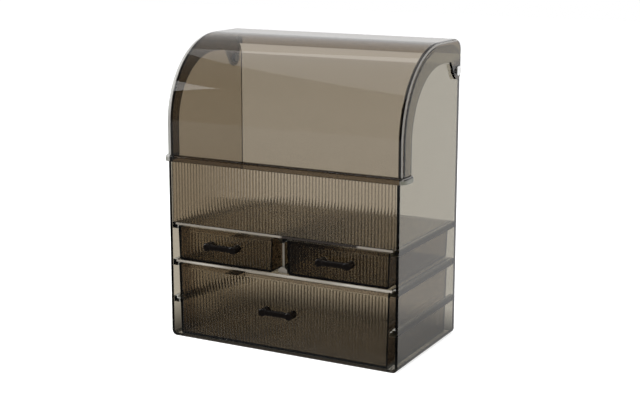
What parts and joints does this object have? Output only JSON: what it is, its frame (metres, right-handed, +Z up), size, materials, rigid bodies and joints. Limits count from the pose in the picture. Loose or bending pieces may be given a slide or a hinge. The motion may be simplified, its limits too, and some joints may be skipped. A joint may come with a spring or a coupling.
{
  "type": "makeup organizer",
  "caption": "Clear smoked make-up case with fluted pull-out drawers under an upper compartment that a hinged quarter-round hood covers.",
  "frame": {"origin": "middle of the case's footprint, on the surface that it stands on", "axes": "+X to the object's right seen from the front, -Y the front with the drawers, +Z up"},
  "size_m": [0.261, 0.1486, 0.3],
  "materials": {
    "smoked_case": "clear smoked brown-grey plastic sheet, glossy",
    "smoked_hood": "clear smoked brown-grey moulding, glossy",
    "smoked_fluted": "clear smoked brown-grey plastic with fine upright flutes, glossy",
    "black_handle": "near-black, glossy",
    "bright_pivot": "bright, lightly polished",
    "steel_screw": "plain steel",
    "nylon_washer": "milky, satin"
  },
  "bodies": {
    "case": {"left_side_panel": "smoked_case", "right_side_panel": "smoked_case", "floor_panel": "smoked_case", "back_panel": "smoked_case", "top_shelf": "smoked_case", "middle_shelf": "smoked_case", "front_baffle": "smoked_fluted", "drawer_divider": "smoked_case", "divider_foot_clip": "smoked_case", "divider_head_clip": "smoked_case", "left_pivot_post": "bright_pivot", "left_pivot_screw": "steel_screw", "left_pivot_washer": "nylon_washer", "right_pivot_post": "bright_pivot", "right_pivot_screw": "steel_screw", "right_pivot_washer": "nylon_washer"},
    "hood": {"hood": "smoked_hood"},
    "small_drawer_left": {"small_drawer_left_tray": "smoked_fluted", "small_drawer_left_handle": "black_handle", "small_drawer_left_handle_screws": "steel_screw"},
    "small_drawer_right": {"small_drawer_right_tray": "smoked_fluted", "small_drawer_right_handle": "black_handle", "small_drawer_right_handle_screws": "steel_screw"},
    "large_drawer": {"large_drawer_tray": "smoked_fluted", "large_drawer_handle": "black_handle", "large_drawer_handle_screws": "steel_screw"}
  },
  "joints": [
    {"name": "hood_hinge", "type": "hinge", "parent": "case", "child": "hood", "pos_m": [0, 0.0565, 0.2695], "axis": [-1, 0, 0], "range_deg": [0, 102]},
    {"name": "small_drawer_left_slide", "type": "slide", "parent": "case", "child": "small_drawer_left", "axis": [0, -1, 0], "range_m": [0, 0.1]},
    {"name": "small_drawer_right_slide", "type": "slide", "parent": "case", "child": "small_drawer_right", "axis": [0, -1, 0], "range_m": [0, 0.1]},
    {"name": "large_drawer_slide", "type": "slide", "parent": "case", "child": "large_drawer", "axis": [0, -1, 0], "range_m": [0, 0.1]}
  ]
}
